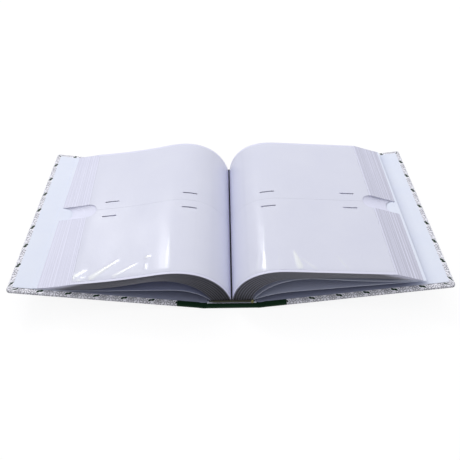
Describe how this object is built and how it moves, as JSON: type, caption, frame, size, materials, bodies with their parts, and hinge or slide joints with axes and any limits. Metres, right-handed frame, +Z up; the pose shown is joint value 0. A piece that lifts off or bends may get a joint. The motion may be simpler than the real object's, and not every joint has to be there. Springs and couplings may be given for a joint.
{
  "type": "pocket photo album",
  "caption": "Case-bound pocket photo album lying open at the middle on its spine, with clear slip-in pockets, thumb notches, tilted covers and free endpapers.",
  "frame": {"origin": "middle of the spine's underside, on the surface that the album lies on", "axes": "+X across the pages towards the back cover, +Y along the spine towards the head, +Z up"},
  "size_m": [0.453, 0.225, 0.054],
  "materials": {
    "printed_paper": "matt printed paper with grey line sprigs",
    "book_cloth": "fine book cloth",
    "grey_board": "raw grey board",
    "endpaper": "smooth white paper",
    "page_card": "smooth white card",
    "clear_film": "clear glossy film",
    "binding_paper": "glued paper guards",
    "crash_cloth": "open weave lining cloth",
    "band_thread": "dark thread with olive stripes"
  },
  "bodies": {
    "spine": {"spine_cloth": "book_cloth", "spine_board": "grey_board", "spine_lining": "endpaper", "crash_cloth": "crash_cloth", "leaf_binding": "binding_paper", "tail_band": "band_thread", "head_band": "band_thread"},
    "front_cover": {"front_board": "grey_board", "front_paper": "printed_paper", "front_cloth": "book_cloth", "front_pastedown": "endpaper"},
    "left_leaf_02": {"left_leaf_02": "page_card"},
    "left_leaf_03": {"left_leaf_03": "page_card"},
    "left_leaf_04": {"left_leaf_04": "page_card"},
    "left_leaf_05": {"left_leaf_05": "page_card"},
    "left_leaf_06": {"left_leaf_06": "page_card"},
    "left_leaf_07": {"left_leaf_07": "page_card"},
    "left_leaf_08": {"left_leaf_08": "page_card"},
    "left_leaf_09": {"left_leaf_09": "page_card"},
    "left_leaf_10": {"left_leaf_10": "page_card"},
    "left_leaf_11": {"left_leaf_11": "page_card"},
    "left_leaf_12": {"left_leaf_12": "page_card"},
    "left_leaf_01": {"left_leaf_01": "page_card", "left_pocket_upper": "clear_film", "left_pocket_lower": "clear_film"},
    "back_cover": {"back_board": "grey_board", "back_paper": "printed_paper", "back_cloth": "book_cloth", "back_pastedown": "endpaper"},
    "right_leaf_02": {"right_leaf_02": "page_card"},
    "right_leaf_03": {"right_leaf_03": "page_card"},
    "right_leaf_04": {"right_leaf_04": "page_card"},
    "right_leaf_05": {"right_leaf_05": "page_card"},
    "right_leaf_06": {"right_leaf_06": "page_card"},
    "right_leaf_07": {"right_leaf_07": "page_card"},
    "right_leaf_08": {"right_leaf_08": "page_card"},
    "right_leaf_09": {"right_leaf_09": "page_card"},
    "right_leaf_10": {"right_leaf_10": "page_card"},
    "right_leaf_11": {"right_leaf_11": "page_card"},
    "right_leaf_12": {"right_leaf_12": "page_card"},
    "right_leaf_01": {"right_leaf_01": "page_card", "right_pocket_upper": "clear_film", "right_pocket_lower": "clear_film"},
    "front_flyleaf": {"front_flyleaf": "endpaper"},
    "back_flyleaf_upper": {"back_flyleaf_upper": "endpaper"},
    "back_flyleaf_lower": {"back_flyleaf_lower": "endpaper"}
  },
  "joints": [
    {"name": "front_cover_hinge", "type": "hinge", "parent": "spine", "child": "front_cover", "pos_m": [-0.029, 0, 0], "axis": [0, 1, 0], "range_deg": [0, 81]},
    {"name": "left_leaf_02_turn", "type": "hinge", "parent": "spine", "child": "left_leaf_02", "pos_m": [-0.00268, 0, 0.00805], "axis": [0, 1, 0], "range_deg": [0, 80.78], "deforming": ["left_leaf_02"]},
    {"name": "left_leaf_03_turn", "type": "hinge", "parent": "spine", "child": "left_leaf_03", "pos_m": [-0.00446, 0, 0.00805], "axis": [0, 1, 0], "range_deg": [0, 81.03], "deforming": ["left_leaf_03"]},
    {"name": "left_leaf_04_turn", "type": "hinge", "parent": "spine", "child": "left_leaf_04", "pos_m": [-0.00624, 0, 0.00805], "axis": [0, 1, 0], "range_deg": [0, 81.23], "deforming": ["left_leaf_04"]},
    {"name": "left_leaf_05_turn", "type": "hinge", "parent": "spine", "child": "left_leaf_05", "pos_m": [-0.00803, 0, 0.00805], "axis": [0, 1, 0], "range_deg": [0, 81.42], "deforming": ["left_leaf_05"]},
    {"name": "left_leaf_06_turn", "type": "hinge", "parent": "spine", "child": "left_leaf_06", "pos_m": [-0.00981, 0, 0.00805], "axis": [0, 1, 0], "range_deg": [0, 81.59], "deforming": ["left_leaf_06"]},
    {"name": "left_leaf_07_turn", "type": "hinge", "parent": "spine", "child": "left_leaf_07", "pos_m": [-0.01159, 0, 0.00805], "axis": [0, 1, 0], "range_deg": [0, 81.74], "deforming": ["left_leaf_07"]},
    {"name": "left_leaf_08_turn", "type": "hinge", "parent": "spine", "child": "left_leaf_08", "pos_m": [-0.01337, 0, 0.00805], "axis": [0, 1, 0], "range_deg": [0, 81.89], "deforming": ["left_leaf_08"]},
    {"name": "left_leaf_09_turn", "type": "hinge", "parent": "spine", "child": "left_leaf_09", "pos_m": [-0.01516, 0, 0.00805], "axis": [0, 1, 0], "range_deg": [0, 82.03], "deforming": ["left_leaf_09"]},
    {"name": "left_leaf_10_turn", "type": "hinge", "parent": "spine", "child": "left_leaf_10", "pos_m": [-0.01694, 0, 0.00805], "axis": [0, 1, 0], "range_deg": [0, 82.16], "deforming": ["left_leaf_10"]},
    {"name": "left_leaf_11_turn", "type": "hinge", "parent": "spine", "child": "left_leaf_11", "pos_m": [-0.01872, 0, 0.00805], "axis": [0, 1, 0], "range_deg": [0, 82.28], "deforming": ["left_leaf_11"]},
    {"name": "left_leaf_12_turn", "type": "hinge", "parent": "spine", "child": "left_leaf_12", "pos_m": [-0.0205, 0, 0.00805], "axis": [0, 1, 0], "range_deg": [0, 82.4], "deforming": ["left_leaf_12"]},
    {"name": "left_leaf_01_lift", "type": "hinge", "parent": "left_leaf_02", "child": "left_leaf_01", "pos_m": [-0.0009, 0, 0.00805], "axis": [0, 1, 0], "range_deg": [0, 30], "deforming": ["left_leaf_01", "left_pocket_upper", "left_pocket_lower"]},
    {"name": "back_cover_hinge", "type": "hinge", "parent": "spine", "child": "back_cover", "pos_m": [0.029, 0, 0], "axis": [0, 1, 0], "range_deg": [-81, 0]},
    {"name": "right_leaf_02_turn", "type": "hinge", "parent": "spine", "child": "right_leaf_02", "pos_m": [0.00268, 0, 0.00805], "axis": [0, 1, 0], "range_deg": [-77.22, 0], "deforming": ["right_leaf_02"]},
    {"name": "right_leaf_03_turn", "type": "hinge", "parent": "spine", "child": "right_leaf_03", "pos_m": [0.00446, 0, 0.00805], "axis": [0, 1, 0], "range_deg": [-77.59, 0], "deforming": ["right_leaf_03"]},
    {"name": "right_leaf_04_turn", "type": "hinge", "parent": "spine", "child": "right_leaf_04", "pos_m": [0.00624, 0, 0.00805], "axis": [0, 1, 0], "range_deg": [-77.94, 0], "deforming": ["right_leaf_04"]},
    {"name": "right_leaf_05_turn", "type": "hinge", "parent": "spine", "child": "right_leaf_05", "pos_m": [0.00803, 0, 0.00805], "axis": [0, 1, 0], "range_deg": [-78.29, 0], "deforming": ["right_leaf_05"]},
    {"name": "right_leaf_06_turn", "type": "hinge", "parent": "spine", "child": "right_leaf_06", "pos_m": [0.00981, 0, 0.00805], "axis": [0, 1, 0], "range_deg": [-78.63, 0], "deforming": ["right_leaf_06"]},
    {"name": "right_leaf_07_turn", "type": "hinge", "parent": "spine", "child": "right_leaf_07", "pos_m": [0.01159, 0, 0.00805], "axis": [0, 1, 0], "range_deg": [-78.96, 0], "deforming": ["right_leaf_07"]},
    {"name": "right_leaf_08_turn", "type": "hinge", "parent": "spine", "child": "right_leaf_08", "pos_m": [0.01337, 0, 0.00805], "axis": [0, 1, 0], "range_deg": [-79.29, 0], "deforming": ["right_leaf_08"]},
    {"name": "right_leaf_09_turn", "type": "hinge", "parent": "spine", "child": "right_leaf_09", "pos_m": [0.01516, 0, 0.00805], "axis": [0, 1, 0], "range_deg": [-79.6, 0], "deforming": ["right_leaf_09"]},
    {"name": "right_leaf_10_turn", "type": "hinge", "parent": "spine", "child": "right_leaf_10", "pos_m": [0.01694, 0, 0.00805], "axis": [0, 1, 0], "range_deg": [-79.91, 0], "deforming": ["right_leaf_10"]},
    {"name": "right_leaf_11_turn", "type": "hinge", "parent": "spine", "child": "right_leaf_11", "pos_m": [0.01872, 0, 0.00805], "axis": [0, 1, 0], "range_deg": [-80.22, 0], "deforming": ["right_leaf_11"]},
    {"name": "right_leaf_12_turn", "type": "hinge", "parent": "spine", "child": "right_leaf_12", "pos_m": [0.0205, 0, 0.00805], "axis": [0, 1, 0], "range_deg": [-80.51, 0], "deforming": ["right_leaf_12"]},
    {"name": "right_leaf_01_lift", "type": "hinge", "parent": "right_leaf_02", "child": "right_leaf_01", "pos_m": [0.0009, 0, 0.00805], "axis": [0, 1, 0], "range_deg": [-30, 0], "deforming": ["right_leaf_01", "right_pocket_upper", "right_pocket_lower"]},
    {"name": "front_flyleaf_turn", "type": "hinge", "parent": "spine", "child": "front_flyleaf", "pos_m": [-0.0226, 0, 0.00805], "axis": [0, 1, 0], "range_deg": [0, 82.46], "deforming": ["front_flyleaf"]},
    {"name": "back_flyleaf_upper_turn", "type": "hinge", "parent": "spine", "child": "back_flyleaf_upper", "pos_m": [0.0226, 0, 0.00805], "axis": [0, 1, 0], "range_deg": [-80.49, 0], "deforming": ["back_flyleaf_upper"]},
    {"name": "back_flyleaf_lower_turn", "type": "hinge", "parent": "spine", "child": "back_flyleaf_lower", "pos_m": [0.0236, 0, 0.00805], "axis": [0, 1, 0], "range_deg": [-80.76, 0], "deforming": ["back_flyleaf_lower"]}
  ],
  "couplings": [
    {"joint": "left_leaf_02_turn", "follows": "front_cover_hinge", "ratio": 0.99605},
    {"joint": "left_leaf_03_turn", "follows": "front_cover_hinge", "ratio": 0.99914},
    {"joint": "left_leaf_04_turn", "follows": "front_cover_hinge", "ratio": 1.0016},
    {"joint": "left_leaf_05_turn", "follows": "front_cover_hinge", "ratio": 1.004},
    {"joint": "left_leaf_06_turn", "follows": "front_cover_hinge", "ratio": 1.006},
    {"joint": "left_leaf_07_turn", "follows": "front_cover_hinge", "ratio": 1.0079},
    {"joint": "left_leaf_08_turn", "follows": "front_cover_hinge", "ratio": 1.0098},
    {"joint": "left_leaf_09_turn", "follows": "front_cover_hinge", "ratio": 1.0115},
    {"joint": "left_leaf_10_turn", "follows": "front_cover_hinge", "ratio": 1.0131},
    {"joint": "left_leaf_11_turn", "follows": "front_cover_hinge", "ratio": 1.0146},
    {"joint": "left_leaf_12_turn", "follows": "front_cover_hinge", "ratio": 1.016},
    {"joint": "right_leaf_02_turn", "follows": "back_cover_hinge", "ratio": 0.9521},
    {"joint": "right_leaf_03_turn", "follows": "back_cover_hinge", "ratio": 0.95667},
    {"joint": "right_leaf_04_turn", "follows": "back_cover_hinge", "ratio": 0.96099},
    {"joint": "right_leaf_05_turn", "follows": "back_cover_hinge", "ratio": 0.96531},
    {"joint": "right_leaf_06_turn", "follows": "back_cover_hinge", "ratio": 0.96951},
    {"joint": "right_leaf_07_turn", "follows": "back_cover_hinge", "ratio": 0.97358},
    {"joint": "right_leaf_08_turn", "follows": "back_cover_hinge", "ratio": 0.97765},
    {"joint": "right_leaf_09_turn", "follows": "back_cover_hinge", "ratio": 0.98148},
    {"joint": "right_leaf_10_turn", "follows": "back_cover_hinge", "ratio": 0.98531},
    {"joint": "right_leaf_11_turn", "follows": "back_cover_hinge", "ratio": 0.98914},
    {"joint": "right_leaf_12_turn", "follows": "back_cover_hinge", "ratio": 0.99272},
    {"joint": "front_flyleaf_turn", "follows": "front_cover_hinge", "ratio": 1.0168},
    {"joint": "back_flyleaf_upper_turn", "follows": "back_cover_hinge", "ratio": 0.99247},
    {"joint": "back_flyleaf_lower_turn", "follows": "back_cover_hinge", "ratio": 0.9958}
  ]
}
